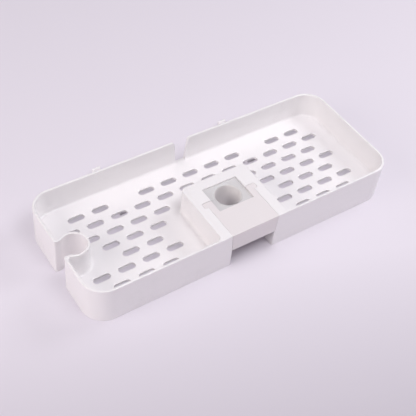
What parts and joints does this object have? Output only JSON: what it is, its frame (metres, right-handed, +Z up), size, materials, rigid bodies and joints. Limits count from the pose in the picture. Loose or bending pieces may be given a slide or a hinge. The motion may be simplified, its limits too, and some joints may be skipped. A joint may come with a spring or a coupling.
{
  "type": "shower rod caddy",
  "caption": "Perforated bathroom tray that clamps on a vertical shower rod with a lift-out wedge block and soft grips, with a slotted hand-shower ring and plug-in hooks",
  "frame": {"origin": "on the rod's axis, the middle of the clamp's bore, level with the foot of the tray that it stands on", "axes": "+Z up along the rod, +X along the tray to its closed right end, +Y to the front with the hooks; -Y is the rear, where the lock block closes the clamp"},
  "size_m": [0.3164, 0.1572, 0.0394],
  "materials": {
    "white_plastic": "satin white injection-moulded plastic",
    "warm_white_plastic": "satin warm-white injection-moulded plastic",
    "grey_grip": "soft grey translucent elastomer"
  },
  "bodies": {
    "carrier": {"tray": "white_plastic", "front_grip_pad": "grey_grip", "left_hook": "white_plastic", "right_hook": "white_plastic"},
    "lock": {"lock_block": "warm_white_plastic", "rear_grip_pad": "grey_grip"}
  },
  "joints": [
    {"name": "lock_lift", "type": "slide", "parent": "carrier", "child": "lock", "axis": [0, 0, 1], "range_m": [0, 0.024]}
  ]
}
